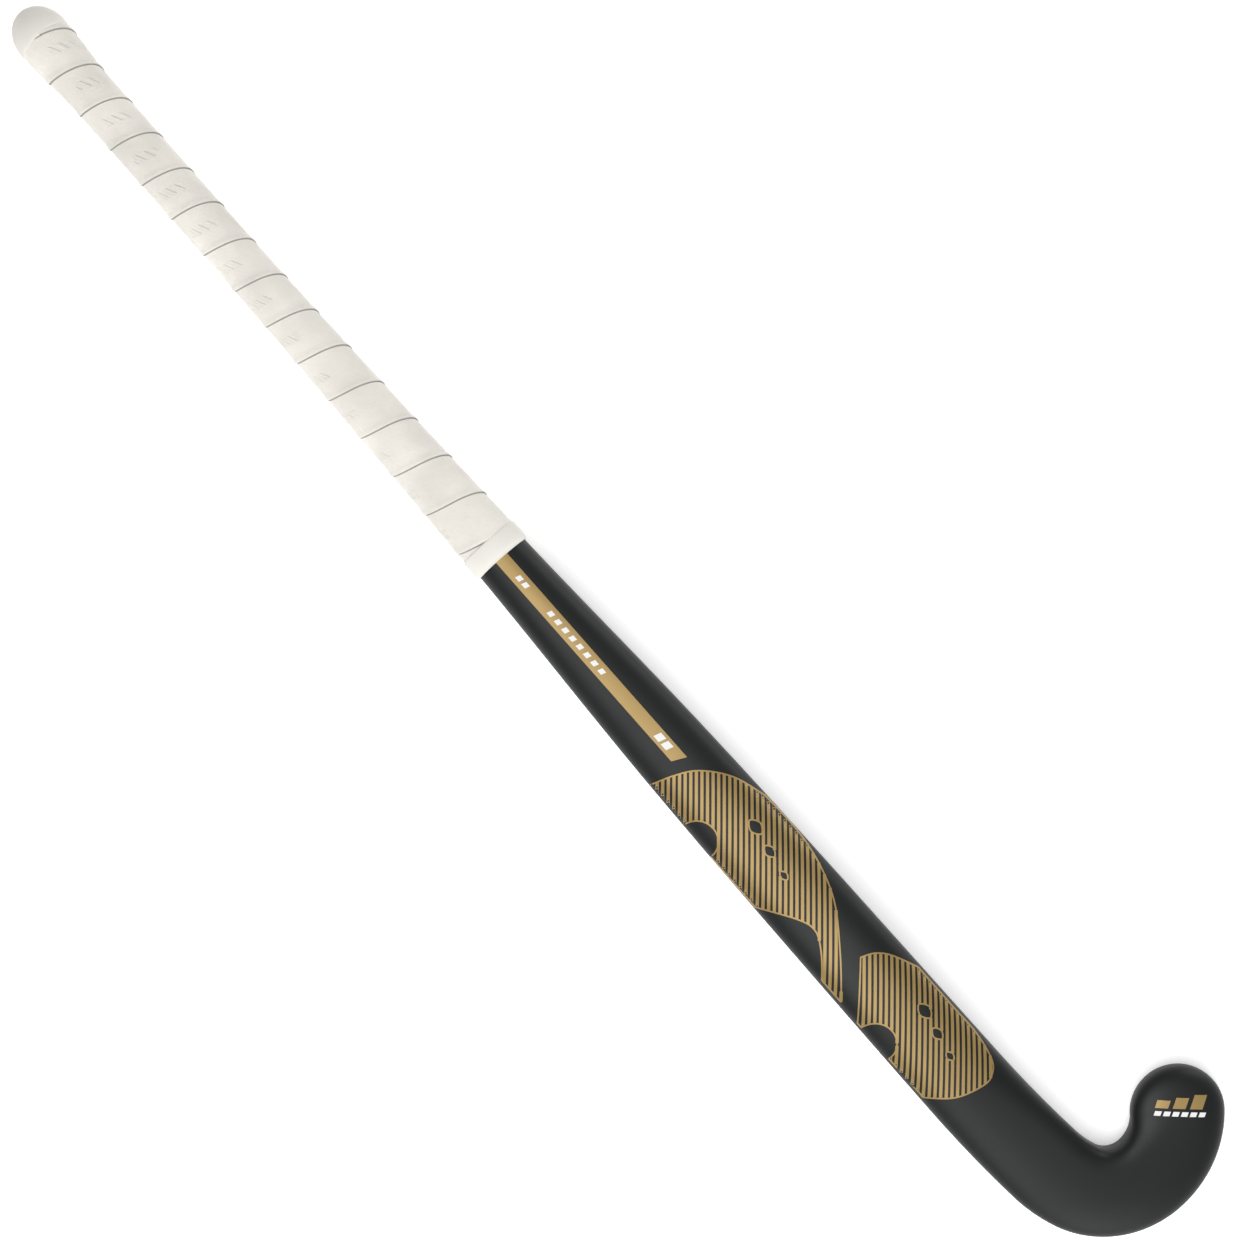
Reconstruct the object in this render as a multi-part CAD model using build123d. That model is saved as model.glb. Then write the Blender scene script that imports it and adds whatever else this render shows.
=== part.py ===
"""Field hockey stick with a hollow composite handle, a solid hooked head and a wrapped grip.

All sizes are in millimetres. The stick lies on its flat playing face, with its rounded back up.
+X runs from the butt to the head, +Y is the side the hook turns to, +Z is up.

Every layer of the stick is the same tapered bar, made larger or smaller by an inset:
a section has a flat bottom (the playing face), a rounded back, and follows a line that is
straight along the handle and shaft and turns through four arcs in the hook. Seen from the
side the face runs straight along the handle, over the bow, and straight along the head.
"""

from build123d import *
from math import asin, atan2, cos, degrees, hypot, radians, sin, sqrt
import os

os.makedirs("parts", exist_ok=True)

# ---------------------------------------------------------------- overall sizes
STICK_LENGTH = 927.0          # butt end to the outside of the hook, 36.5 inches
GRIP_LENGTH = 406.0           # butt end to the lower edge of the grip
TAPER_LENGTH = 214.0          # grip edge to where the shaft reaches its full width
HEAD_TILT = 7.5               # degrees between the head's face and the floor
BOW_RADIUS = 674.0            # radius of the bow, seen from the side

# ---------------------------------------------------------------- the hook, as arcs seen from above
HOOK_ARCS = [(750.0, 5.0), (80.0, 15.0), (38.0, 70.0), (44.0, 52.0)]   # radius, degrees turned

# ---------------------------------------------------------------- widths and depths of the bare bar
BUTT_HALF_WIDTH = 14.0
WAIST_HALF_WIDTH = 12.0
GRIP_MID_HALF_WIDTH = 13.7
GRIP_END_HALF_WIDTH = 16.3
MID_SHAFT_HALF_WIDTH = 22.0
SHAFT_HALF_WIDTH = 23.4
HEEL_HALF_WIDTH = 24.9
BEND_HALF_WIDTH = 26.0
TOE_HALF_WIDTH = 26.6
BUTT_DEPTH = 29.0
WAIST_DEPTH = 26.0
GRIP_END_DEPTH = 24.5
MID_SHAFT_DEPTH = 22.3
SHAFT_DEPTH = 21.6
HEEL_DEPTH = 20.6
TOE_DEPTH = 19.5
BUTT_FLARE = 25.0             # the knob that stops the hand slipping off
WAIST_START = 60.0
WAIST_END = 180.0
GRIP_MID = 300.0
PLANING = 0.15                # the head's playing face is planed by this much, to be truly flat
PLANED_FROM = 16.0            # the planing starts this far past the start of the hook
SECTION_SPACING = 30.0        # between the sections of the straight bar
SECTION_TURN = 7.0            # degrees between the sections of the hook
HOOK_SPACING = 18.0

# ---------------------------------------------------------------- layers, as walls
SKIN_WALL = 1.0               # outer laminate with its paint
LAMINATE_WALL = 1.6           # structural laminate under it
STRIP_WALL = 0.5              # stiffening tapes let into the structural laminate
LINER_WALL = 0.5              # bladder left inside the hollow handle
FILM_WALL = 0.2               # printed films on the paint
MARK_WALL = 0.15              # white print on the spine stripe
UNDERLAY_WALL = 0.3           # double-sided tape under the grip
TAPE_WALL = 1.5               # grip tape
BAND_WALL = 0.35              # finishing tape over the grip's lower edge

# ---------------------------------------------------------------- lengths of the inner pieces
CROWN_OVERRUN = 1.1           # the hook still widens a little past its crown
HANDLE_START = 14.0           # the laminate starts this far in, where the cap's dome is wide enough
CAP_DOME = 18.0               # length of its rounded end
CAP_DOME_STEPS = 7
CAP_TIP_ANGLE = 8.0
CAP_SKIRT = 22.0              # how far the cap reaches over the handle
PLUG_END = 44.0               # how far in the butt plug reaches
HOLLOW_PAST_GRIP = 14.0       # the handle is hollow to this far past the grip
BULKHEAD_LENGTH = 12.0
HEAD_CORE_BEFORE_BEND = 90.0  # the denser core of the head starts this far before the hook
STRIP_PAST_GRIP = 34.0        # the tapes run along the bare shaft, where the face is flat enough
STRIP_BEFORE_BEND = 60.0
STRIP_HALF_WIDTH = 8.0
RIBBON_SHARE = 0.965          # a film never reaches nearer to the side than this share of the width
CUTTER_SPARE = 0.5            # a cutter stands this far out of what it cuts
BAND_LENGTH = 12.0

# ---------------------------------------------------------------- print on the back
STRIPE_LENGTH = 148.0
STRIPE_HALF_WIDTH = 4.0
STRIPE_SLANT = 4.0
STRIPE_TUCK = 6.0             # how far the stripe runs on under the grip
PANEL_OFFSET = 146.0          # grip edge to the first corner of the panels
PANEL_PAST_BEND = 7.0
PANEL_HALF_WIDTH = 22.6
BITE_RADIUS = 11.5
PRINTED_HOOK_SECTIONS = 5
TOE_FILM_STEP = 5.0
TOE_FILM_HALF_WIDTH = 20.0
EMBLEM_LENGTH = 30.0
EMBLEM_HEIGHT = 8.0
EMBLEM_BARS = 3
CAPTION_HEIGHT = 2.6
CAPTION_DASHES = 6
EMBLEM_TURN = 46.0            # degrees from +X
EMBLEM_SLANT = 2.0
EMBLEM_PAST_TOE_END = 1.0     # from the end of the hook's centre line to the middle of the emblem

# ---------------------------------------------------------------- sizes that follow from those
GRIP_WALL = UNDERLAY_WALL + TAPE_WALL
LAMINATE_INSIDE = SKIN_WALL + LAMINATE_WALL
FAR = 400.0                   # past the end of anything that a slab or prism must reach


def hook_reach():
    """Distance along the head from the start of the hook to its outermost point."""
    reach, heading = 0.0, 0.0
    for radius, turn in HOOK_ARCS[:3]:
        reach += radius * (sin(radians(heading + turn)) - sin(radians(heading)))
        heading += turn
    return reach + BEND_HALF_WIDTH + CROWN_OVERRUN


# Side view: from the butt a straight handle, one arc for the bow, and the straight head.
TILT = radians(HEAD_TILT)
HEAD_RUN = hook_reach()
BOW_END = (STICK_LENGTH - HEAD_RUN * cos(TILT), HEAD_RUN * sin(TILT))
BOW_CENTRE = (BOW_END[0] - BOW_RADIUS * sin(TILT), BOW_END[1] - BOW_RADIUS * cos(TILT))
CENTRE_DISTANCE = hypot(BOW_CENTRE[0], BOW_CENTRE[1] - GRIP_WALL)
CENTRE_ANGLE = atan2(BOW_CENTRE[1] - GRIP_WALL, BOW_CENTRE[0])
HANDLE_RISE = CENTRE_ANGLE + asin(BOW_RADIUS / CENTRE_DISTANCE)
HANDLE_RUN = sqrt(CENTRE_DISTANCE ** 2 - BOW_RADIUS ** 2)
BOW_RUN = BOW_RADIUS * (HANDLE_RISE + TILT)
BEND_START = HANDLE_RUN + BOW_RUN


def side_angle(run):
    """Slope of the face in radians, at a distance along it from the butt; up is positive."""
    if run <= HANDLE_RUN:
        return HANDLE_RISE
    if run >= BEND_START:
        return -TILT
    return HANDLE_RISE - (run - HANDLE_RUN) / BOW_RADIUS


def face_point(run, height=0.0):
    """X and Z of a point at a distance along the face and a height above it."""
    slope = side_angle(run)
    if run <= HANDLE_RUN:
        x, z = run * cos(slope), GRIP_WALL + run * sin(slope)
    elif run >= BEND_START:
        x = BOW_END[0] + (run - BEND_START) * cos(slope)
        z = BOW_END[1] + (run - BEND_START) * sin(slope)
    else:
        x = BOW_CENTRE[0] - BOW_RADIUS * sin(slope)
        z = BOW_CENTRE[1] + BOW_RADIUS * cos(slope)
    return x - height * sin(slope), z + height * cos(slope)


def hook_line(length):
    """Run, sideways place and heading in degrees of the hook's centre line, past the bend start."""
    run, side, heading = BEND_START, 0.0, 0.0
    for radius, turn in HOOK_ARCS:
        arc = radius * radians(turn)
        angle = min(length, arc) / radius
        start = radians(heading)
        run += radius * (sin(start + angle) - sin(start))
        side += radius * (cos(start) - cos(start + angle))
        heading += degrees(angle)
        length -= min(length, arc)
        if length <= 0.0:
            break
    past_end = max(length, 0.0)
    return run + past_end * cos(radians(heading)), side + past_end * sin(radians(heading)), heading


HOOK_LENGTH = sum(radius * radians(turn) for radius, turn in HOOK_ARCS)
TOE_END = BEND_START + HOOK_LENGTH
CROWN = BEND_START + sum(radius * radians(turn) for radius, turn in HOOK_ARCS[:3])
MID_SHAFT = GRIP_LENGTH + 0.67 * TAPER_LENGTH
TAPER_END = GRIP_LENGTH + TAPER_LENGTH

# ---------------------------------------------------------------- how the section changes along the bar
HALF_WIDTHS = [
    (0.0, BUTT_HALF_WIDTH), (BUTT_FLARE, BUTT_HALF_WIDTH), (WAIST_START, WAIST_HALF_WIDTH),
    (WAIST_END, WAIST_HALF_WIDTH), (GRIP_MID, GRIP_MID_HALF_WIDTH), (GRIP_LENGTH, GRIP_END_HALF_WIDTH),
    (MID_SHAFT, MID_SHAFT_HALF_WIDTH), (TAPER_END, SHAFT_HALF_WIDTH), (BEND_START, HEEL_HALF_WIDTH),
    (CROWN, BEND_HALF_WIDTH), (TOE_END, TOE_HALF_WIDTH),
]
DEPTHS = [
    (0.0, BUTT_DEPTH), (BUTT_FLARE, BUTT_DEPTH), (WAIST_START, WAIST_DEPTH), (WAIST_END, WAIST_DEPTH),
    (GRIP_LENGTH, GRIP_END_DEPTH), (MID_SHAFT, MID_SHAFT_DEPTH), (TAPER_END, SHAFT_DEPTH),
    (BEND_START, HEEL_DEPTH), (TOE_END, TOE_DEPTH),
]
SIDE_SHARES = [                # height of the widest line, as a share of the depth
    (0.0, 0.50), (WAIST_END, 0.50), (GRIP_LENGTH, 0.46), (TAPER_END, 0.41), (TOE_END, 0.41),
]
BACK_POWERS = [(0.0, 2.0), (GRIP_LENGTH, 2.15), (TAPER_END, 2.3), (BEND_START, 2.3), (TOE_END, 2.5)]
INNER_POWERS = [(0.0, 0.0), (BEND_START, 0.0), (BEND_START + 60.0, 0.9), (CROWN, 0.9), (TOE_END, 0.0)]
CORNER_POWERS = [(0.0, 2.0), (GRIP_LENGTH, 2.1), (TAPER_END, 2.3), (TOE_END, 2.4)]
FLAT_SHARES = [                # flat part of the face, as a share of the half width
    (0.0, 0.20), (WAIST_END, 0.25), (GRIP_LENGTH, 0.45), (TAPER_END, 0.68), (TOE_END, 0.70),
]
KEELS = [                      # how far the head's face is left proud, to be planed flat
    (0.0, 0.0), (BEND_START, 0.0), (BEND_START + PLANED_FROM, PLANING), (TOE_END, PLANING),
]
LEANS = [                      # how far the highest line of the back lies towards the hook's inside
    (0.0, 0.0), (BEND_START - 40.0, 0.0), (BEND_START + 60.0, 0.34), (CROWN, 0.38), (TOE_END, 0.0),
]


def along(place, knots):
    """Smooth value between (place, value) knots, which never overshoots them."""
    if place <= knots[0][0]:
        return knots[0][1]
    if place >= knots[-1][0]:
        return knots[-1][1]
    slopes = [(b[1] - a[1]) / (b[0] - a[0]) for a, b in zip(knots, knots[1:])]
    tangents = [slopes[0]]
    for before, after in zip(slopes, slopes[1:]):
        same_way = before * after > 0.0
        tangents.append(2.0 * before * after / (before + after) if same_way else 0.0)
    tangents.append(slopes[-1])
    i = max(n for n in range(len(slopes)) if knots[n][0] <= place)
    width = knots[i + 1][0] - knots[i][0]
    t = (place - knots[i][0]) / width
    rise = t * t * (3.0 - 2.0 * t)
    value = knots[i][1] + (knots[i + 1][1] - knots[i][1]) * rise
    value += width * tangents[i] * t * (1.0 - t) ** 2
    return value - width * tangents[i + 1] * t * t * (1.0 - t)


def quarter(centre, reach_side, reach_up, power, steps=6):
    """Points of a quarter of a superellipse, from the side to the top or bottom of a section."""
    points = []
    for step in range(steps + 1):
        angle = radians(90.0 * step / steps)
        across = abs(cos(angle)) ** (2.0 / power) if step < steps else 0.0
        up = abs(sin(angle)) ** (2.0 / power)
        points.append((centre[0] + reach_side * across, centre[1] + reach_up * up))
    return points


def section_arcs(place, inset):
    """Point lists of a section from the sides: inner back, outer back, outer corner, inner corner."""
    half = along(place, HALF_WIDTHS) - inset
    depth = along(place, DEPTHS)
    side = depth * along(place, SIDE_SHARES)
    back = along(place, BACK_POWERS)
    inner_back = back + along(place, INNER_POWERS)
    corner = along(place, CORNER_POWERS)
    flat = half * along(place, FLAT_SHARES)
    crest = along(place, LEANS) * half
    up, down = depth - inset - side, inset - along(place, KEELS) - side
    inner_top = quarter((crest, side), half - crest, up, inner_back)
    outer_top = quarter((crest, side), -half - crest, up, back)
    outer_low = quarter((-flat, side), flat - half, down, corner)
    inner_low = quarter((flat, side), half - flat, down, corner)
    return inner_top, outer_top, outer_low, inner_low


def section_edges(place, inset, shrink=1.0):
    """The outline of a section in the XY plane, shrunk about its middle: two backs, two corners, flat."""
    middle = along(place, DEPTHS) / 2.0

    def shrunk(points):
        return [(x * shrink, middle + (y - middle) * shrink) for x, y in points]

    inner_top, outer_top, outer_low, inner_low = [shrunk(arc) for arc in section_arcs(place, inset)]
    return [
        Spline(*inner_top, tangents=[(0, 1), (-1, 0)]),
        Spline(*outer_top, tangents=[(0, 1), (1, 0)]),
        Spline(*outer_low, tangents=[(0, -1), (1, 0)]),
        Line(outer_low[-1], inner_low[-1]),
        Spline(*inner_low, tangents=[(0, -1), (-1, 0)]),
    ]


def section_plane(place):
    """The plane of the section at a distance along the bar: x across, y up, z along the bar."""
    run, side, heading = (place, 0.0, 0.0) if place <= BEND_START else hook_line(place - BEND_START)
    slope = side_angle(run)
    x, z = face_point(run)
    turn = radians(heading)
    ahead = (cos(turn) * cos(slope), sin(turn), cos(turn) * sin(slope))
    across = (-sin(turn) * cos(slope), cos(turn), -sin(turn) * sin(slope))
    return Plane(origin=(x, side, z), x_dir=across, z_dir=ahead)


def section(place, inset, shrink=1.0):
    """One closed section wire, standing across the bar."""
    return section_plane(place) * Wire(section_edges(place, inset, shrink))


def straight_places(start, end):
    """Places of the sections along the straight bar, from start to end."""
    spacing = 12.0 if start < WAIST_START else SECTION_SPACING
    places = [start]
    while places[-1] < end:
        spacing = 12.0 if places[-1] < WAIST_START else SECTION_SPACING
        places.append(min(places[-1] + spacing, end))
    if len(places) > 2 and places[-1] - places[-2] < SECTION_SPACING / 3.0:
        del places[-2]
    return places


def hook_places():
    """Places of the sections round the hook: each arc is cut into equal steps."""
    places = [BEND_START]
    for radius, turn in HOOK_ARCS:
        arc = radius * radians(turn)
        count = max(2, round(turn / SECTION_TURN), round(arc / HOOK_SPACING))
        start = places[-1]
        places += [start + arc * step / count for step in range(1, count + 1)]
    return places


def in_plane(shape, plane):
    """Whether an edge or a face lies in a plane."""
    places = [vertex.center() for vertex in shape.vertices()] + [shape.center()]
    return all(abs((place - plane.origin).dot(plane.z_dir)) < 1e-4 for place in places)


def toe_cap(inset):
    """Faces of the rounded end of the toe: half a turn about the end of the centre line."""
    plane = section_plane(TOE_END)
    inner_top, _, _, inner_low = section_arcs(TOE_END, inset)
    bottom = (0.0, inner_low[-1][1])
    outline = [
        Line(bottom, inner_low[-1]),
        Spline(*inner_low, tangents=[(0, -1), (-1, 0)]),
        Spline(*inner_top, tangents=[(0, 1), (-1, 0)]),
        Line(inner_top[-1], bottom),
    ]
    profile = plane * Face(Wire(outline))
    return revolve(profile, Axis(plane.origin, plane.y_dir), -180.0).faces()


def head_faces(inset):
    """Faces of the hook and toe, open at the bend start."""
    start, end = section_plane(BEND_START), section_plane(TOE_END)
    loft_faces = Solid.make_loft([section(place, inset) for place in hook_places()]).faces()
    faces = [face for face in loft_faces if not in_plane(face, start) and not in_plane(face, end)]
    return faces + [face for face in toe_cap(inset) if not in_plane(face, end)]


def bar_faces(inset, start, end):
    """Side faces of the bar from start to end, with no faces across its ends."""
    places = straight_places(start, min(end, BEND_START))
    loft_faces = Solid.make_loft([section(place, inset) for place in places]).faces()
    ends = [section_plane(places[0]), section_plane(places[-1])]
    sides = [face for face in loft_faces if not any(in_plane(face, plane) for plane in ends)]
    return sides if end <= BEND_START else sides + head_faces(inset)


def core(inset, start, end):
    """Everything inside an inset from start to end; an end past the bend start means the toe."""
    faces = bar_faces(inset, start, end) + [Face(section(start, inset))]
    if end <= BEND_START:
        faces.append(Face(section(end, inset)))
    return Solid(Shell(faces))


def layer(outside, inside, start, end):
    """The wall between two insets from start to end, open at its start and, before the toe, its end."""
    faces = bar_faces(outside, start, end) + bar_faces(inside, start, end)
    faces.append(Face(section(start, outside), [section(start, inside)]))
    if end <= BEND_START:
        faces.append(Face(section(end, outside), [section(end, inside)]))
    return Solid(Shell(faces))


def planing_block():
    """What is planed off the head: everything under its playing face."""
    start, end = BEND_START + PLANED_FROM, TOE_END + FAR
    corners = [face_point(start, -PLANED_FROM), face_point(end, -PLANED_FROM)]
    corners += [face_point(end), face_point(start)]
    with BuildSketch(Plane.XZ) as outline:
        with BuildLine():
            Polyline(*corners, close=True)
        make_face()
    return extrude(outline.sketch, amount=FAR, both=True)


def back_height(place, across, inset):
    """Height of the back over the face, at a distance across the bar, round the toe's end as well."""
    half = along(place, HALF_WIDTHS) - inset
    depth = along(place, DEPTHS)
    side = depth * along(place, SIDE_SHARES)
    crest = along(place, LEANS) * half
    power = along(place, BACK_POWERS)
    reach = -half - crest
    if across > crest:
        power += along(place, INNER_POWERS)
        reach = half - crest
    share = hypot(across - crest, max(place - TOE_END, 0.0)) / abs(reach)
    return side + (depth - inset - side) * max(1.0 - share ** power, 0.0) ** (1.0 / power)


def ribbon(places, half_width, top, bottom, on_back=True):
    """A thin sheet that follows the back or the face through the given places, between two insets."""
    wires = []
    for place in places:
        half = min(half_width, RIBBON_SHARE * along(place, HALF_WIDTHS))
        if on_back:
            across = [half * sin(radians(15.0 * step)) for step in range(-6, 7)]
            upper = Spline(*[(u, back_height(place, u, top)) for u in across])
            lower = Spline(*[(u, back_height(place, u, bottom)) for u in across[::-1]])
        else:
            upper = Line((-half, bottom), (half, bottom))
            lower = Line((half, top), (-half, top))
        sides = [Line(upper @ 1, lower @ 0), Line(lower @ 1, upper @ 0)]
        wires.append(section_plane(place) * Wire([upper, sides[0], lower, sides[1]]))
    return Solid.make_loft(wires)


def butt_cap():
    """A domed cap with a skirt that covers the cut end of the handle."""
    wires = []
    for step in range(CAP_DOME_STEPS):
        angle = radians(CAP_TIP_ANGLE + (90.0 - CAP_TIP_ANGLE) * step / CAP_DOME_STEPS)
        wires.append(section(CAP_DOME * (1.0 - cos(angle)), -GRIP_WALL, sin(angle)))
    wires += [section(place, -GRIP_WALL) for place in (CAP_DOME, (CAP_DOME + CAP_SKIRT) / 2.0, CAP_SKIRT)]
    return Solid.make_loft(wires) - core(0.0, HANDLE_START, CAP_SKIRT + CAP_DOME)


# ---------------------------------------------------------------- print on the back, drawn from above
PANEL_START = GRIP_LENGTH + PANEL_OFFSET
PANEL_RUN = BEND_START + PANEL_PAST_BEND - PANEL_START


def art(x, y):
    """A point of the artwork: x from 0 to 1 along the panels, y from -1 to 1 across the back."""
    return PANEL_START + x * PANEL_RUN, y * PANEL_HALF_WIDTH


def upper_panel():
    """Outline of the panel next to the spine stripe: an arched start and a tail that sweeps across."""
    with BuildSketch() as panel:
        with BuildLine():
            Line(art(0.36, -1.0), art(0.0, -1.0))
            ThreePointArc(art(0.0, -1.0), art(0.05, 0.20), art(0.19, 0.98))
            Line(art(0.19, 0.98), art(0.30, 1.0))
            Spline(art(0.30, 1.0), art(0.47, 0.50), art(0.645, -0.96), tangents=[(1, 0), (0.75, -0.66)])
            Line(art(0.645, -0.96), art(0.58, -0.96))
            Spline(art(0.58, -0.96), art(0.49, -0.25), art(0.36, -1.0), tangents=[(-0.7, 0.7), (-0.8, -0.6)])
        make_face()
    return panel.sketch


def lower_panel():
    """Outline of the panel next to the hook: a slanted start and one well rounded corner."""
    with BuildSketch() as panel:
        with BuildLine():
            Polyline(art(0.93, -1.0), art(0.705, -1.0), art(0.595, 0.12))
            Spline(art(0.595, 0.12), art(0.64, 0.72), art(0.70, 1.0), tangents=[(0.3, 0.9), (0.9, 0.2)])
            Line(art(0.70, 1.0), art(0.90, 1.0))
            Spline(art(0.90, 1.0), art(0.985, 0.72), art(0.995, 0.30), art(0.93, -1.0),
                   tangents=[(1, 0), (-0.3, -0.9)])
        make_face()
    return panel.sketch


def diamonds(first, step, count, size):
    """A row of diamond-shaped windows, each a little smaller than the last."""
    shapes = []
    for number in range(count):
        x, y = first[0] + number * step[0], first[1] + number * step[1]
        half = size * (1.0 - 0.2 * number)
        points = [(x + half, y), (x, y + 0.7 * half), (x - half, y), (x, y - 0.7 * half)]
        shapes.append(make_face(Polyline(*points, close=True)))
    return shapes


def printed(film, shape, base):
    """The part of a film that lies above a base height, inside a shape drawn from above."""
    return film & extrude(Pos(0, 0, base) * shape, amount=FAR)


def slanted_bar(centre, length, height, slant):
    """A parallelogram, drawn flat: length along x, height along y."""
    x, y = centre
    a, b = length / 2.0, height / 2.0
    points = [(x - a, y - b), (x + a, y - b), (x + a + slant, y + b), (x - a + slant, y + b)]
    return make_face(Polyline(*points, close=True))


def stripe_shape():
    """The long gold stripe on the spine, with a slanted lower end."""
    start, end = GRIP_LENGTH - STRIPE_TUCK, GRIP_LENGTH + STRIPE_LENGTH
    half = STRIPE_HALF_WIDTH
    points = [(start, -half), (end - STRIPE_SLANT, -half), (end, half), (start, half)]
    return make_face(Polyline(*points, close=True))


def stripe_marks():
    """White ticks on the stripe: a pair, a long row and one broad mark near the end."""
    marks = Sketch()
    row = [14.0, 19.0] + [40.0 + 6.0 * n for n in range(8)]
    for x in row:
        marks += slanted_bar((GRIP_LENGTH + x, 0.0), 3.2, 3.0, 0.8)
    for x in (130.0, 136.0):
        marks += slanted_bar((GRIP_LENGTH + x, 0.0), 4.4, 4.4, 1.2)
    return marks


def emblem_place():
    """Where the emblem sits: the middle of the toe, turned to lie level when the stick slants."""
    run, side, _ = hook_line(HOOK_LENGTH + EMBLEM_PAST_TOE_END)
    return Pos(face_point(run)[0], side, 0) * Rot(0, 0, EMBLEM_TURN)


def toe_emblem():
    """Three slanted gold bars of rising height."""
    pitch = EMBLEM_LENGTH / EMBLEM_BARS
    shape = Sketch()
    for number in range(EMBLEM_BARS):
        height = EMBLEM_HEIGHT * (0.55 + 0.225 * number)
        centre = (pitch * (number - (EMBLEM_BARS - 1) / 2.0), 1.5 + height / 2.0)
        shape += slanted_bar(centre, pitch * 0.72, height, EMBLEM_SLANT)
    return emblem_place() * shape


def toe_caption():
    """A row of white dashes under the emblem."""
    pitch = EMBLEM_LENGTH / CAPTION_DASHES
    shape = Sketch()
    for number in range(CAPTION_DASHES):
        centre = (pitch * (number - (CAPTION_DASHES - 1) / 2.0), -1.5)
        shape += slanted_bar(centre, pitch * 0.72, CAPTION_HEIGHT, EMBLEM_SLANT / 3.0)
    return emblem_place() * shape


def build():
    """Every piece of the stick, by name."""
    hollow_end = GRIP_LENGTH + HOLLOW_PAST_GRIP
    foam_start = hollow_end + BULKHEAD_LENGTH
    head_start = BEND_START - HEAD_CORE_BEFORE_BEND
    strip_end = BEND_START - STRIP_BEFORE_BEND
    toe = TOE_END
    pieces = {}
    pieces["outer_laminate"] = layer(0.0, SKIN_WALL, HANDLE_START, toe) - planing_block()
    laminate = layer(SKIN_WALL, LAMINATE_INSIDE, HANDLE_START, toe)
    bottom = SKIN_WALL + STRIP_WALL
    strip_places = straight_places(GRIP_LENGTH + STRIP_PAST_GRIP, strip_end)
    for name, on_back in (("stiffening_strip_back", True), ("stiffening_strip_face", False)):
        pieces[name] = ribbon(strip_places, STRIP_HALF_WIDTH, SKIN_WALL, bottom, on_back)
        laminate -= ribbon(strip_places, STRIP_HALF_WIDTH, SKIN_WALL - CUTTER_SPARE, bottom, on_back)
    pieces["structural_laminate"] = laminate
    pieces["butt_plug"] = core(LAMINATE_INSIDE, HANDLE_START, PLUG_END)
    pieces["bladder_liner"] = layer(LAMINATE_INSIDE, LAMINATE_INSIDE + LINER_WALL, PLUG_END, hollow_end)
    pieces["handle_bulkhead"] = core(LAMINATE_INSIDE, hollow_end, foam_start)
    pieces["shaft_core"] = core(LAMINATE_INSIDE, foam_start, head_start)
    pieces["head_core"] = core(LAMINATE_INSIDE, head_start, toe)
    pieces["butt_cap"] = butt_cap()
    pieces["grip_underlay"] = layer(-UNDERLAY_WALL, 0.0, CAP_SKIRT, GRIP_LENGTH)
    pieces["grip_tape"] = layer(-GRIP_WALL, -UNDERLAY_WALL, CAP_SKIRT, GRIP_LENGTH)
    band_start = GRIP_LENGTH - BAND_LENGTH
    pieces["grip_finishing_band"] = layer(-GRIP_WALL - BAND_WALL, -GRIP_WALL, band_start, GRIP_LENGTH)

    shaft_places = straight_places(GRIP_LENGTH, BEND_START) + hook_places()[1:PRINTED_HOOK_SECTIONS]
    film = ribbon(shaft_places, HEEL_HALF_WIDTH, -FILM_WALL, 0.0)
    marks_film = ribbon(shaft_places, 2.0 * STRIPE_HALF_WIDTH, -FILM_WALL - MARK_WALL, -FILM_WALL)
    toe_places = [TOE_END + TOE_FILM_STEP * step for step in range(-5, 4)]
    toe_film = ribbon(toe_places, TOE_FILM_HALF_WIDTH, -FILM_WALL, 0.0)
    shaft_base = face_point(HANDLE_RUN + BOW_RUN, 0.0)[1] + HEEL_DEPTH / 2.0
    toe_base = face_point(hook_line(HOOK_LENGTH)[0])[1] + TOE_DEPTH / 2.0
    pieces["spine_stripe"] = printed(film, stripe_shape(), shaft_base)
    pieces["spine_stripe_marks"] = printed(marks_film, stripe_marks(), shaft_base)
    upper, lower = upper_panel(), lower_panel()
    for x in (0.165, 0.765):
        bite = Pos(*art(x, -1.0)) * Circle(BITE_RADIUS)
        upper -= bite
        lower -= bite
    upper -= diamonds(art(0.225, 0.30), (15.0, -3.0), 3, 5.0)
    lower -= diamonds(art(0.78, 0.42), (14.0, -3.0), 3, 5.0)
    pieces["panel_print_upper"] = printed(film, upper, shaft_base)
    pieces["panel_print_lower"] = printed(film, lower, shaft_base)
    pieces["toe_emblem"] = printed(toe_film, toe_emblem(), toe_base)
    pieces["toe_caption"] = printed(toe_film, toe_caption(), toe_base)
    return pieces


def main():
    """Centre the stick over its base point, with its lowest point at zero, and write each piece."""
    pieces = build()
    boxes = [piece.bounding_box() for piece in pieces.values()]
    low = [min(getattr(box.min, axis) for box in boxes) for axis in "XYZ"]
    high = [max(getattr(box.max, axis) for box in boxes) for axis in "XYZ"]
    shift = Pos(-(low[0] + high[0]) / 2, -(low[1] + high[1]) / 2, -low[2])
    print("overall size", [round(top - bottom, 2) for bottom, top in zip(low, high)])
    print("moved by", [round(value, 3) for value in shift.position])
    for name, piece in pieces.items():
        placed = shift * piece
        print(name, len(placed.solids()), "solids,", round(placed.volume / 1000.0, 2), "cm3")
        export_step(placed, f"parts/{name}.step")


main()
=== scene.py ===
# %% [markdown]
# # A field hockey stick with a wrapped white grip
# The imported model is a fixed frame: a hollow composite stick, hooked at one end, that lies on its flat
# playing face. Blender adds what an engineering model leaves out: a smooth painted skin, a grip tape that
# really is wound on in a spiral, crisp gold print, and finishes that catch the light as paint and
# polyurethane do. Each step is a short cell, with the reason for the method before it.

# %% Load the frame
import bpy
import bmesh
import math
import numpy as np
from mathutils import Matrix, Vector
from mathutils.bvhtree import BVHTree


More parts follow.
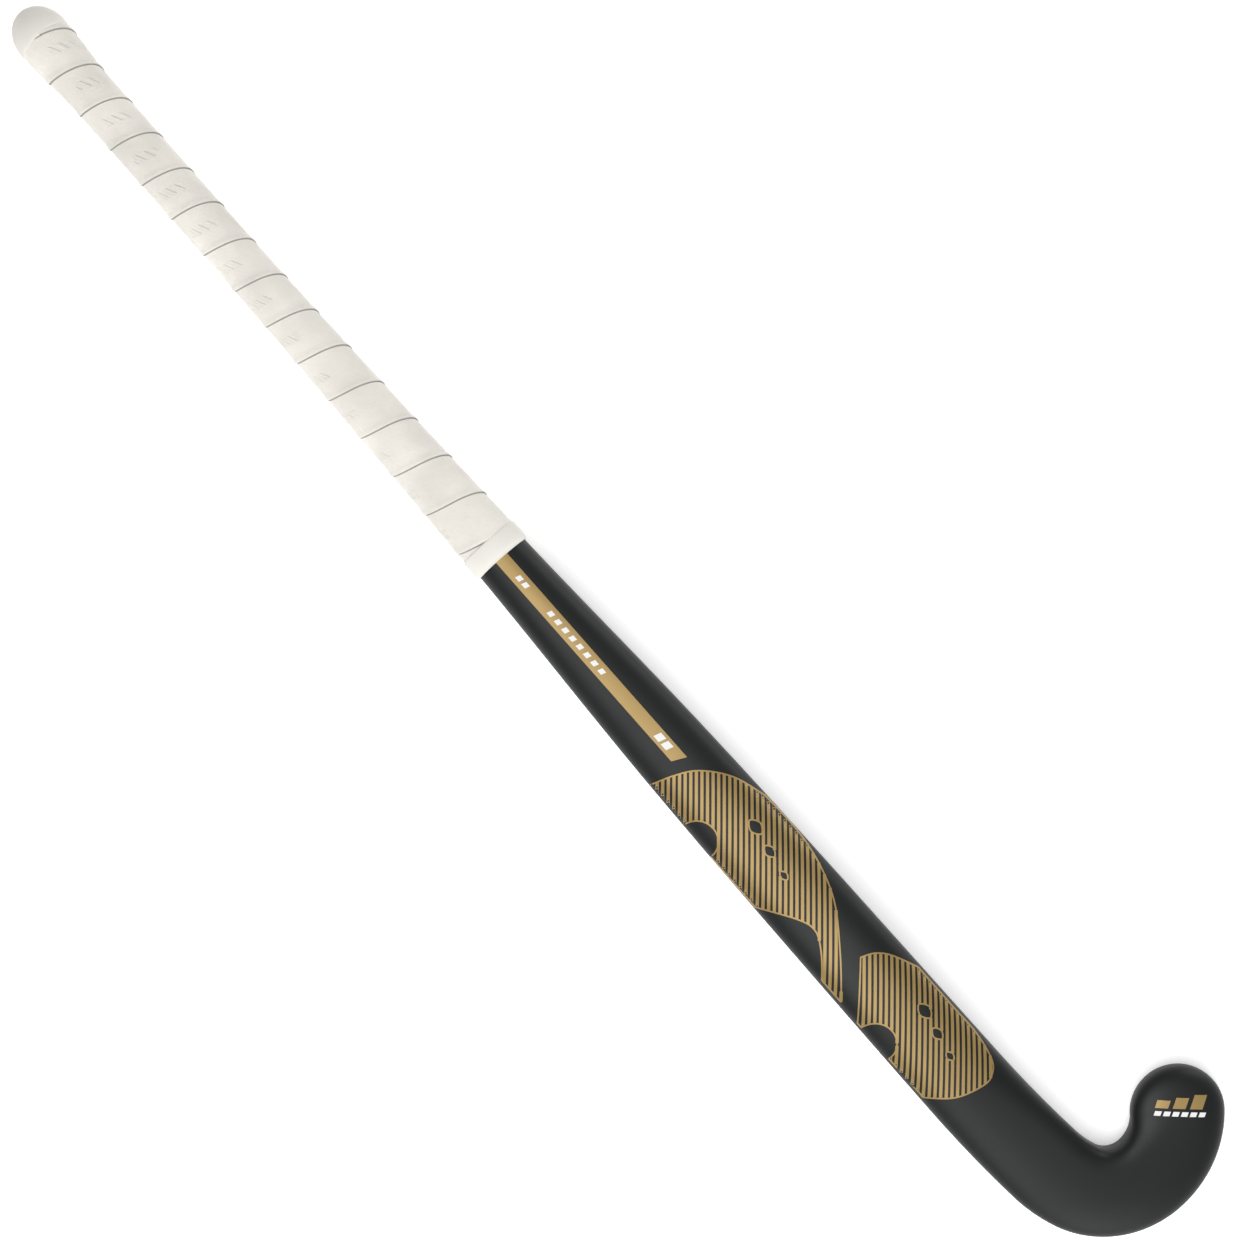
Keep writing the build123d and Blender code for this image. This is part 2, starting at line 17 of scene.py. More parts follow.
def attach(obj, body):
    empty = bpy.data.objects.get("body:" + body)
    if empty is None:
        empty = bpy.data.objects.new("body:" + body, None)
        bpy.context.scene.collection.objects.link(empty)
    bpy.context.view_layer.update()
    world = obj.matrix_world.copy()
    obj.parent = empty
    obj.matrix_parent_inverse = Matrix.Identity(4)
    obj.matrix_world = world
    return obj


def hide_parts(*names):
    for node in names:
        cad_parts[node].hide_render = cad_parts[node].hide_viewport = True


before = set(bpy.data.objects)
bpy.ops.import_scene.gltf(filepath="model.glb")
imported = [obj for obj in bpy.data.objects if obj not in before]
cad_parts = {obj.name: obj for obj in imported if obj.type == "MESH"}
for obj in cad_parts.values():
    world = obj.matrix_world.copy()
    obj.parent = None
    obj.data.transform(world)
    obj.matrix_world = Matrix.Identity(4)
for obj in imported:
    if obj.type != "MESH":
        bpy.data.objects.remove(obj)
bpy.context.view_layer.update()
MM = 0.001

# %% [markdown]
# ## The stick's own measurements
# The skin is made from a rule instead of being copied from the engineering mesh: a section with a flat
# face and a rounded back is carried along a line. The line is straight in the handle and shaft and turns
# through four arcs in the hook. Seen from the side, the face rises along the handle, goes over the bow and
# falls along the head. A rule gives even quads, so that long highlights stay smooth.

# %% Sizes in millimetres
ZERO = Vector((-463.347, -39.626, -0.570))      # where the stick's own zero point lies in the frame
STICK_LENGTH, GRIP_LENGTH, TAPER_LENGTH = 927.0, 406.0, 214.0
HEAD_TILT, BOW_RADIUS, GRIP_WALL = math.radians(7.5), 674.0, 1.8
HOOK_ARCS = [(750.0, 5.0), (80.0, 15.0), (38.0, 70.0), (44.0, 52.0)]
BEND_HALF_WIDTH, CROWN_OVERRUN = 26.0, 1.1
HANDLE_START, CAP_DOME, BAND_LENGTH, BAND_WALL = 14.0, 18.0, 12.0, 0.35


def hook_reach():
    """Distance along the head from the start of the hook to its outermost point."""
    reach, heading = 0.0, 0.0
    for radius, turn in HOOK_ARCS[:3]:
        reach += radius * (math.sin(math.radians(heading + turn)) - math.sin(math.radians(heading)))
        heading += turn
    return reach + BEND_HALF_WIDTH + CROWN_OVERRUN


HEAD_RUN = hook_reach()
BOW_END = (STICK_LENGTH - HEAD_RUN * math.cos(HEAD_TILT), HEAD_RUN * math.sin(HEAD_TILT))
BOW_CENTRE = (BOW_END[0] - BOW_RADIUS * math.sin(HEAD_TILT), BOW_END[1] - BOW_RADIUS * math.cos(HEAD_TILT))
CENTRE_DISTANCE = math.hypot(BOW_CENTRE[0], BOW_CENTRE[1] - GRIP_WALL)
HANDLE_RISE = math.atan2(BOW_CENTRE[1] - GRIP_WALL, BOW_CENTRE[0]) + math.asin(BOW_RADIUS / CENTRE_DISTANCE)
HANDLE_RUN = math.sqrt(CENTRE_DISTANCE ** 2 - BOW_RADIUS ** 2)
BEND_START = HANDLE_RUN + BOW_RADIUS * (HANDLE_RISE + HEAD_TILT)
TOE_END = BEND_START + sum(radius * math.radians(turn) for radius, turn in HOOK_ARCS)
CROWN = BEND_START + sum(radius * math.radians(turn) for radius, turn in HOOK_ARCS[:3])
MID_SHAFT, TAPER_END = GRIP_LENGTH + 0.67 * TAPER_LENGTH, GRIP_LENGTH + TAPER_LENGTH
print("hook starts at", round(BEND_START, 1), "mm, toe ends at", round(TOE_END, 1), "mm along the stick")

# %% How the section changes along the stick
HALF_WIDTHS = [(0, 14.0), (25, 14.0), (60, 12.0), (180, 12.0), (300, 13.7), (GRIP_LENGTH, 16.3),
               (MID_SHAFT, 22.0), (TAPER_END, 23.4), (BEND_START, 24.9), (CROWN, 26.0), (TOE_END, 26.6)]
DEPTHS = [(0, 29.0), (25, 29.0), (60, 26.0), (180, 26.0), (GRIP_LENGTH, 24.5), (MID_SHAFT, 22.3),
          (TAPER_END, 21.6), (BEND_START, 20.6), (TOE_END, 19.5)]
SIDE_SHARES = [(0, 0.50), (180, 0.50), (GRIP_LENGTH, 0.46), (TAPER_END, 0.41), (TOE_END, 0.41)]
BACK_POWERS = [(0, 2.0), (GRIP_LENGTH, 2.15), (TAPER_END, 2.3), (BEND_START, 2.3), (TOE_END, 2.5)]
INNER_POWERS = [(0, 0.0), (BEND_START, 0.0), (BEND_START + 60, 0.9), (CROWN, 0.9), (TOE_END, 0.0)]
CORNER_POWERS = [(0, 2.0), (GRIP_LENGTH, 2.1), (TAPER_END, 2.3), (TOE_END, 2.4)]
FLAT_SHARES = [(0, 0.20), (180, 0.25), (GRIP_LENGTH, 0.45), (TAPER_END, 0.68), (TOE_END, 0.70)]
LEANS = [(0, 0.0), (BEND_START - 40, 0.0), (BEND_START + 60, 0.34), (CROWN, 0.38), (TOE_END, 0.0)]


def along(place, knots):
    """Smooth value between (place, value) knots, which never overshoots them."""
    place = min(max(place, knots[0][0]), knots[-1][0])
    slopes = [(b[1] - a[1]) / (b[0] - a[0]) for a, b in zip(knots, knots[1:])]
    tangents = [slopes[0]]
    for before, after in zip(slopes, slopes[1:]):
        tangents.append(2.0 * before * after / (before + after) if before * after > 0.0 else 0.0)
    tangents.append(slopes[-1])
    i = max(n for n in range(len(slopes)) if knots[n][0] <= place)
    width = knots[i + 1][0] - knots[i][0]
    t = (place - knots[i][0]) / width
    value = knots[i][1] + (knots[i + 1][1] - knots[i][1]) * t * t * (3.0 - 2.0 * t)
    return value + width * t * (1.0 - t) * (tangents[i] * (1.0 - t) - tangents[i + 1] * t)


def side_frame(run):
    """Point on the face seen from the side, and its slope, at a distance along it from the butt."""
    if run <= HANDLE_RUN:
        return run * math.cos(HANDLE_RISE), GRIP_WALL + run * math.sin(HANDLE_RISE), HANDLE_RISE
    if run >= BEND_START:
        past = run - BEND_START
        return BOW_END[0] + past * math.cos(HEAD_TILT), BOW_END[1] - past * math.sin(HEAD_TILT), -HEAD_TILT
    slope = HANDLE_RISE - (run - HANDLE_RUN) / BOW_RADIUS
    return BOW_CENTRE[0] - BOW_RADIUS * math.sin(slope), BOW_CENTRE[1] + BOW_RADIUS * math.cos(slope), slope


def section_frame(place):
    """Origin, across and up directions of the section at a distance along the stick."""
    run, side, heading, left = place, 0.0, 0.0, place - BEND_START
    if left > 0.0:
        run = BEND_START
        for radius, turn in HOOK_ARCS:
            angle = min(left / radius, math.radians(turn))
            run += radius * (math.sin(heading + angle) - math.sin(heading))
            side += radius * (math.cos(heading) - math.cos(heading + angle))
            heading, left = heading + angle, left - radius * angle
            if left <= 1e-9:
                break
    x, z, slope = side_frame(run)
    aside = -math.sin(heading)
    across = Vector((aside * math.cos(slope), math.cos(heading), aside * math.sin(slope)))
    return Vector((x, side, z)), across, Vector((-math.sin(slope), 0.0, math.cos(slope)))


def section_point(place, turn, inset=0.0, shrink=1.0):
    """A point of the section: turn in degrees from the crest, positive towards the hook's inside."""
    half, depth = along(place, HALF_WIDTHS) - inset, along(place, DEPTHS)
    side, crest = depth * along(place, SIDE_SHARES), along(place, LEANS) * (along(place, HALF_WIDTHS) - inset)
    way, angle = (1.0 if turn >= 0.0 else -1.0), abs(turn)
    if angle <= 90.0:
        power = along(place, BACK_POWERS) + (along(place, INNER_POWERS) if way > 0.0 else 0.0)
        reach = way * half - crest
        u = crest + reach * abs(math.sin(math.radians(angle))) ** (2.0 / power)
        v = side + (depth - inset - side) * abs(math.cos(math.radians(angle))) ** (2.0 / power)
    else:
        power, flat = along(place, CORNER_POWERS), half * along(place, FLAT_SHARES)
        corner = math.radians(min(angle - 90.0, 60.0) * 1.5)
        u = way * (flat + (half - flat) * abs(math.cos(corner)) ** (2.0 / power))
        v = side - (side - inset) * abs(math.sin(corner)) ** (2.0 / power)
        if angle > 150.0:
            u = way * flat * (180.0 - angle) / 30.0
    u, v = u * shrink, depth / 2.0 + (v - depth / 2.0) * shrink
    origin, across, up = section_frame(place)
    return (origin + across * u + up * v + ZERO) * MM


def turns(count):
    """Even turns right round a section, starting at the middle of the face."""
    return [-180.0 + 360.0 * step / count for step in range(count)]


tip = section_point(TOE_END, 0.0)
print("crest of the toe in mm:", [round(value / MM, 1) for value in tip])

# %% [markdown]
# ## Mesh helpers
# A tube is a grid of rings. `grid_mesh` joins the rings with quads, closes both ends, merges doubles and
# turns every face outwards, so each shape is a clean closed solid. A UV map in millimetres is
# kept where a texture has to follow the tape.

# %% Helpers that make and finish a mesh
def new_object(name, mesh):
    """A mesh object at the origin, in the scene."""
    obj = bpy.data.objects.new(name, mesh)
    bpy.context.scene.collection.objects.link(obj)
    return obj


def clean(mesh, distance=2e-6):
    """Merges doubles, drops faces without area and turns the rest outwards."""
    work = bmesh.new()
    work.from_mesh(mesh)
    bmesh.ops.remove_doubles(work, verts=work.verts, dist=distance)
    bmesh.ops.dissolve_degenerate(work, edges=work.edges, dist=distance)
    bmesh.ops.recalc_face_normals(work, faces=work.faces)
    for face in work.faces:
        face.smooth = True
    work.to_mesh(mesh)
    work.free()


def grid_mesh(name, rings, closed_ends=True):
    """A tube from rings of equal length, closed at both ends unless told otherwise."""
    count, points = len(rings[0]), [tuple(point) for ring in rings for point in ring]
    faces = []
    for row in range(len(rings) - 1):
        for column in range(count):
            after = (column + 1) % count
            faces.append((row * count + column, row * count + after,
                          (row + 1) * count + after, (row + 1) * count + column))
    if closed_ends:
        faces.append(tuple(range(count))[::-1])
        faces.append(tuple((len(rings) - 1) * count + column for column in range(count)))
    mesh = bpy.data.meshes.new(name)
    mesh.from_pydata(points, [], faces)
    clean(mesh)
    return mesh


def baked(obj):
    """Replaces an object's modifiers by their result, as a plain mesh."""
    graph = bpy.context.evaluated_depsgraph_get()
    result = bpy.data.meshes.new_from_object(obj.evaluated_get(graph))
    obj.modifiers.clear()
    obj.data = result
    return obj


print("helpers ready")

# %% [markdown]
# ## The painted skin
# On the real stick this is paint over cured laminate. It could be a subdivision cage, but the section rule
# gives the exact shape directly. Rings stand 4 mm apart on the shaft and 1.6 mm apart in the hook, where
# the line turns. The toe is half a turn of the last section about its middle.

# %% Make the skin
def skin_rings():
    """Rings from the start of the handle to the end of the hook's line."""
    places = list(np.arange(HANDLE_START, BEND_START, 4.0))
    places += list(np.linspace(BEND_START, TOE_END, int((TOE_END - BEND_START) / 1.6)))
    return [[section_point(place, turn) for turn in turns(96)] for place in places]


def toe_faces(mesh, steps=40):
    """Adds the rounded toe: the inner half of the last section, turned about the end of the line."""
    origin, across, up = section_frame(TOE_END)
    pivot = (origin + ZERO) * MM
    half_ring = [section_point(TOE_END, turn) for turn in turns(96) if turn >= 0.0]
    half_ring.append(section_point(TOE_END, 180.0))
    rows = []
    for step in range(steps + 1):
        spin = Matrix.Translation(pivot) @ Matrix.Rotation(-math.pi * step / steps, 4, up)
        spin = spin @ Matrix.Translation(-pivot)
        rows.append([spin @ point for point in half_ring])
    work = bmesh.new()
    work.from_mesh(mesh)
    grid = [[work.verts.new(point) for point in row] for row in rows]
    for first, second in zip(grid, grid[1:]):
        for a, b, c, d in zip(first, first[1:], second[1:], second):
            work.faces.new((a, b, c, d))
    work.to_mesh(mesh)
    work.free()


def open_grid(name, rings):
    """Rings joined by quads, closed at the start and open at the end."""
    mesh = grid_mesh(name, rings, closed_ends=False)
    work = bmesh.new()
    work.from_mesh(mesh)
    first = [vertex for vertex in work.verts if vertex.co.x < (ZERO.x + HANDLE_START + 1.5) * MM]
    start = bmesh.ops.contextual_create(work, geom=[v for v in first if v.is_boundary])
    print("butt end closed with", len(start["faces"]), "face")
    work.to_mesh(mesh)
    work.free()
    return mesh


skin_mesh = open_grid("painted_skin", skin_rings())
toe_faces(skin_mesh)
clean(skin_mesh, 2e-5)
skin = new_object("painted_skin", skin_mesh)
bvh = BVHTree.FromPolygons([v.co for v in skin_mesh.vertices], [p.vertices for p in skin_mesh.polygons])
check = bmesh.new()
check.from_mesh(skin_mesh)
open_edges = sum(1 for edge in check.edges if not edge.is_manifold)
check.free()
print("skin has", len(skin_mesh.polygons), "faces and", open_edges, "open edges")

# %% [markdown]
# ## Grip tape wound in a spiral
# The grip is one long strip of soft polyurethane. Each turn covers a few millimetres of the turn before,
# which leaves a low ridge that ends in a sharp edge. A bump map would not show in the outline, so the
# ridge is real: the rows of the mesh follow the spiral, close together at the edge and wide apart between.

# %% Wind the tape
TURNS = 14
FIRST_EDGE, PITCH, PITCH_GROWTH = 21.5, 25.0, 0.114
RIDGE_HEIGHT, RIDGE_WIDTH = 0.55, 4.6
TAPE_START, TAPE_END = 19.0, GRIP_LENGTH - 2.0
COLUMNS = 72
wobble = np.random.default_rng(7).uniform(-0.7, 0.7, TURNS + 4)


def edge_place(turn):
    """Distance of the tape's edge along the handle, after a number of turns."""
    steady = FIRST_EDGE + PITCH * turn + PITCH_GROWTH * turn * turn
    return steady + float(np.interp(turn + 1.0, np.arange(TURNS + 4), wobble))


def ridge(distance, width):
    """Height of the tape at a distance before its edge: a low swelling that ends at the edge."""
    share = max(0.0, 1.0 - distance / RIDGE_WIDTH)
    swell = share * share * (3.0 - 2.0 * share)
    sag = 0.12 * math.sin(math.pi * min(distance / width, 1.0))
    return RIDGE_HEIGHT * min(1.0, 1.35 * swell) + sag - 0.35 * max(0.0, 1.0 - distance / 0.5)


def tape_rows():
    """(place, turn in degrees, height) rows that follow the spiral, from edge to edge."""
    spacing = [0.0, 0.18, 0.5, 1.1, 2.0, 3.0, 4.0, 5.2, 7.5, 11.0, 15.0, 19.0, 22.5, 24.6]
    rows = []
    for step in range(-COLUMNS, (TURNS + 1) * COLUMNS + 1):
        amount = step / COLUMNS
        high, low = edge_place(amount + 1.0), edge_place(amount)
        width = high - low
        row = [(high - gap * width / 25.6, ridge(gap, width)) for gap in spacing] + [(low, 0.0)]
        angle = (amount - math.floor(amount)) * 360.0
        signed = angle if angle <= 180.0 else angle - 360.0
        rows.append([(place, signed, height) for place, height in row[::-1]])
    return rows


def wound_tape():
    """The whole tape as one sheet, with U along the tape and V across it, in millimetres."""
    rows = tape_rows()
    count = len(rows[0])
    points, uv, edge_uv = [], [], []
    for index, row in enumerate(rows):
        for column, (place, angle, height) in enumerate(row):
            held = min(max(place, TAPE_START), TAPE_END)
            fade = min(1.0, (held - TAPE_START) / 2.0, (TAPE_END - held) / 2.0)
            points.append(tuple(section_point(held, angle, -GRIP_WALL + 0.55 - height * fade)))
            uv.append((index * 88.0 / COLUMNS, row[-1][0] - place))
            edge_uv.append((min(row[-1][0] - place, place - row[0][0]), 0.0))
    faces = []
    for first in range(len(rows) - 1):
        for column in range(count - 1):
            a = first * count + column
            faces.append((a, a + 1, a + 1 + count, a + count))
    for first in range(len(rows) - 1 - COLUMNS):
        a, b = first * count + count - 1, (first + COLUMNS) * count
        faces.append((a, b, b + count, a + count))
    mesh = bpy.data.meshes.new("grip_tape_wound")
    mesh.from_pydata(points, [], faces)
    layer = mesh.uv_layers.new(name="tape")
    edge_layer = mesh.uv_layers.new(name="edge")
    for loop in mesh.loops:
        layer.data[loop.index].uv = uv[loop.vertex_index]
        edge_layer.data[loop.index].uv = edge_uv[loop.vertex_index]
    clean(mesh, 1e-6)
    return mesh


tape = new_object("grip_tape_wound", wound_tape())
wall = tape.modifiers.new("wall", "SOLIDIFY")
wall.thickness = 0.9 * MM
wall.offset = -1.0
baked(tape)
print("tape has", len(tape.data.polygons), "faces over", TURNS, "turns")

# %% [markdown]
# ## Butt cap and finishing band
# The cap is a soft dome under the first turn; the band is one turn of smooth tape that holds the last one.
# Both are short lathe-like tubes round the same section, so they use the ring helper with a profile.

# %% Make the cap and the band
def profile_tube(name, profile, count=96):
    """A closed tube from (place, inset, shrink) steps."""
    rings = [[section_point(place, turn, inset, shrink) for turn in turns(count)]
             for place, inset, shrink in profile]
    return new_object(name, grid_mesh(name, rings))


cap_profile = []
for step in range(15):
    angle = math.radians(3.0 + 87.0 * step / 14.0)
    cap_profile.append((CAP_DOME * (1.0 - math.cos(angle)), -GRIP_WALL + 0.1, math.sin(angle)))
cap_profile += [(19.6, -GRIP_WALL + 0.1, 1.0), (21.0, -GRIP_WALL + 0.25, 1.0),
                (21.6, -1.1, 1.0), (21.8, -0.2, 1.0)]
cap = profile_tube("butt_cap_moulded", cap_profile)

BAND_START = GRIP_LENGTH - BAND_LENGTH
outer = -GRIP_WALL - BAND_WALL
band_profile = [(BAND_START - 0.4, -0.4, 1.0), (BAND_START - 0.4, outer + 0.45, 1.0),
                (BAND_START, outer + 0.15, 1.0),
                (BAND_START + 0.6, outer, 1.0), (BAND_START + 5.0, outer + 0.05, 1.0),
                (BAND_START + 7.0, outer, 1.0), (GRIP_LENGTH - 3.4, outer + 0.15, 1.0),
                (GRIP_LENGTH - 2.0, outer + 0.45, 1.0), (GRIP_LENGTH - 1.0, outer + 0.9, 1.0),
                (GRIP_LENGTH - 0.3, outer + 1.5, 1.0), (GRIP_LENGTH, -0.05, 1.0)]
band = profile_tube("grip_finishing_band_turn", band_profile)
print("cap and band made")

# %% [markdown]
# ## Gold print on the back
# The print is thin ink on the paint. Each stripe, border and mark is its own thin raised strip, laid on
# the skin by dropping its points straight down onto it. The edges then stay sharp at any distance, which
# a painted texture would not do. The design is two pinstriped panels with half-round bites and diamond
# windows, and a plain stripe on the spine.

# %% Functions that lay ink on the skin
INK = 0.10 * MM


def on_skin(x, y, lift):
    """The point of the back straight above a place in the stick's own plan, lifted off the skin."""
    start = Vector(((x + ZERO.x) * MM, (y + ZERO.y) * MM, 0.2))
    place, normal = bvh.ray_cast(start, Vector((0, 0, -1)))[:2]
    if place is None:
        return None
    return place + normal * lift


def ink_strip(work, left, right, columns=1):
    """A closed thin strip between two lines of plan points, a little raised over the skin."""
    rows = []
    for a, b in zip(left, right):
        shares = np.linspace(0.0, 1.0, columns + 1)
        places = [(a[0] + (b[0] - a[0]) * share, a[1] + (b[1] - a[1]) * share) for share in shares]
        ends = [on_skin(*place, INK) for place in places] + [on_skin(*place, -INK) for place in places[::-1]]
        if all(end is not None for end in ends):
            rows.append([work.verts.new(end) for end in ends])
    if len(rows) < 2:
        return
    for first, second in zip(rows, rows[1:]):
        for i in range(len(first)):
            after = (i + 1) % len(first)
            work.faces.new((first[i], first[after], second[after], second[i]))
    work.faces.new(rows[0][::-1])
    work.faces.new(rows[-1])


def finished_ink(work, name):
    """The bmesh as an object, with its faces turned outwards."""
    bmesh.ops.recalc_face_normals(work, faces=work.faces)
    mesh = bpy.data.meshes.new(name)
    work.to_mesh(mesh)
    work.free()
    return new_object(name, mesh)


def arc_points(centre, radius, start, end, count=24):
    """Points of an arc in the plan, angles in degrees."""
    angles = np.radians(np.linspace(start, end, count))
    return [(centre[0] + radius * math.cos(a), centre[1] + radius * math.sin(a)) for a in angles]


def curve(points, count=20):
    """A smooth line through a few plan points."""
    ts = np.linspace(0.0, len(points) - 1.0, count)
    padded = [points[0]] + list(points) + [points[-1]]
    line = []
    for t in ts:
        i = min(int(t), len(points) - 2)
        f = t - i
        a, b, c, d = [np.array(p, float) for p in padded[i:i + 4]]
        point = 0.5 * (2 * b + (c - a) * f + (2 * a - 5 * b + 4 * c - d) * f ** 2
                       + (3 * b - a - 3 * c + d) * f ** 3)
        line.append((float(point[0]), float(point[1])))
    return line


print("ink functions ready")

# %% Outlines of the two panels
PANEL_START = GRIP_LENGTH + 146.0
PANEL_RUN = BEND_START + 7.0 - PANEL_START
PANEL_HALF = 22.6


def art(x, y):
    """A point of the artwork: x from 0 to 1 along the panels, y from -1 to 1 across the back."""
    return PANEL_START + x * PANEL_RUN, y * PANEL_HALF


def edge_bite(x, radius=11.5):
    """A half-round bite out of the outer edge, walked towards the butt."""
    centre = art(x, -1.0)
    return arc_points(centre, radius, 0.0, 180.0)


upper = (curve([art(0.0, -1.0), art(0.02, -0.35), art(0.05, 0.20), art(0.11, 0.70), art(0.19, 0.98)], 30)
         + curve([art(0.19, 0.98), art(0.30, 1.0), art(0.39, 0.84), art(0.47, 0.50), art(0.56, -0.20),
                  art(0.645, -0.96)], 50)
         + curve([art(0.58, -0.96), art(0.53, -0.52), art(0.485, -0.28), art(0.44, -0.42),
                  art(0.36, -1.0)], 40)
         + edge_bite(0.165))
lower = ([art(0.93, -1.0)] + edge_bite(0.765) + [art(0.705, -1.0)]
         + curve([art(0.705, -1.0), art(0.65, -0.44), art(0.595, 0.12)], 20)
         + curve([art(0.595, 0.12), art(0.61, 0.45), art(0.64, 0.72), art(0.70, 1.0)], 20)
         + curve([art(0.70, 1.0), art(0.82, 1.0), art(0.90, 1.0), art(0.965, 0.86), art(0.99, 0.62),
                  art(0.995, 0.30), art(0.975, -0.40), art(0.93, -1.0)], 60))


def diamonds(x, y, step, count, size):
    """A row of softened diamond windows, each a little smaller."""
    rows = []
    for number in range(count):
        cx, cy = art(x, y)[0] + step[0] * number, art(x, y)[1] + step[1] * number
        half = size * (1.0 - 0.2 * number)
        window = []
        for angle in np.radians(np.arange(0.0, 360.0, 12.0)):
            c, s = math.cos(angle), math.sin(angle)
            window.append((cx + half * math.copysign(abs(c) ** 1.4, c),
                           cy + 0.7 * half * math.copysign(abs(s) ** 1.4, s)))
        rows.append(window)
    return rows


panels = {
    "panel_print_upper": [upper] + diamonds(0.225, 0.30, (15.0, -3.0), 3, 5.0),
    "panel_print_lower": [lower] + diamonds(0.78, 0.42, (14.0, -3.0), 3, 5.0),
}
print("panel outlines:", {name: [len(loop) for loop in loops] for name, loops in panels.items()})

# %% Cut the pinstripes to the panels and draw the borders
STRIPE_DIRECTION = math.radians(-41.5)
STRIPE_PITCH, STRIPE_WIDTH, BORDER_WIDTH = 3.05, 1.75, 0.85
ahead = np.array([math.cos(STRIPE_DIRECTION), math.sin(STRIPE_DIRECTION)])
aside = np.array([-ahead[1], ahead[0]])


def crossings(loops, offset):
    """Where a stripe's middle line crosses the outlines, as sorted distances along it."""
    found = []
    for loop in loops:
        for a, b in zip(loop, loop[1:] + loop[:1]):
            da, db = np.dot(a, aside) - offset, np.dot(b, aside) - offset
            if (da < 0.0) != (db < 0.0):
                share = da / (da - db)
                found.append(float(np.dot(np.array(a) + share * (np.array(b) - np.array(a)), ahead)))
    return sorted(found)


def lay_panel(name, loops):
    """Pinstripes inside the outlines, and a border line along each outline."""
    work = bmesh.new()
    offsets = [float(np.dot(point, aside)) for loop in loops for point in loop]
    for number in range(math.ceil(min(offsets) / STRIPE_PITCH), math.floor(max(offsets) / STRIPE_PITCH) + 1):
        found = crossings(loops, number * STRIPE_PITCH)
        for start, end in zip(found[::2], found[1::2]):
            if end - start < 1.0:
                continue
            reach = np.linspace(start, end, max(2, int((end - start) / 1.5)))
            middle = [ahead * r + aside * number * STRIPE_PITCH for r in reach]
            ink_strip(work, [tuple(p + aside * STRIPE_WIDTH / 2) for p in middle],
                      [tuple(p - aside * STRIPE_WIDTH / 2) for p in middle])
    for loop in loops:
        points = np.array([p for p, q in zip(loop, loop[1:] + loop[:1])
                           if np.hypot(p[0] - q[0], p[1] - q[1]) > 0.05])
        after, before = np.roll(points, -1, axis=0), np.roll(points, 1, axis=0)
        tangent = after - before
        tangent /= np.linalg.norm(tangent, axis=1)[:, None]
        normal = np.stack([-tangent[:, 1], tangent[:, 0]], axis=1) * BORDER_WIDTH / 2
        left = [tuple(p) for p in points + normal]
        right = [tuple(p) for p in points - normal]
        ink_strip(work, left + left[:1], right + right[:1])
    print(name, "has", len(work.faces), "faces of ink")
    return finished_ink(work, name + "_ink")


panel_inks = {name: lay_panel(name, loops) for name, loops in panels.items()}

# %% [markdown]
# ## The spine stripe, and rows of small marks by Geometry Nodes
# The stripe is one strip of ink. The marks on it, the bars of the toe's emblem and the dashes under them
# are all the same thing: a slanted bar repeated along a line. One node tree makes any such row from its
# count, pitch and bar size, drops it onto the skin, and gives it thickness.

# %% The spine stripe
stripe_work = bmesh.new()
stripe_x = np.linspace(GRIP_LENGTH - 1.0, GRIP_LENGTH + 146.0, 60)
ink_strip(stripe_work, [(x + 2.0 * (x - stripe_x[0]) / 147.0, 4.0) for x in stripe_x],
          [(x - 2.0 * (x - stripe_x[0]) / 147.0, -4.0) for x in stripe_x], columns=8)
spine_stripe = finished_ink(stripe_work, "spine_stripe_ink")


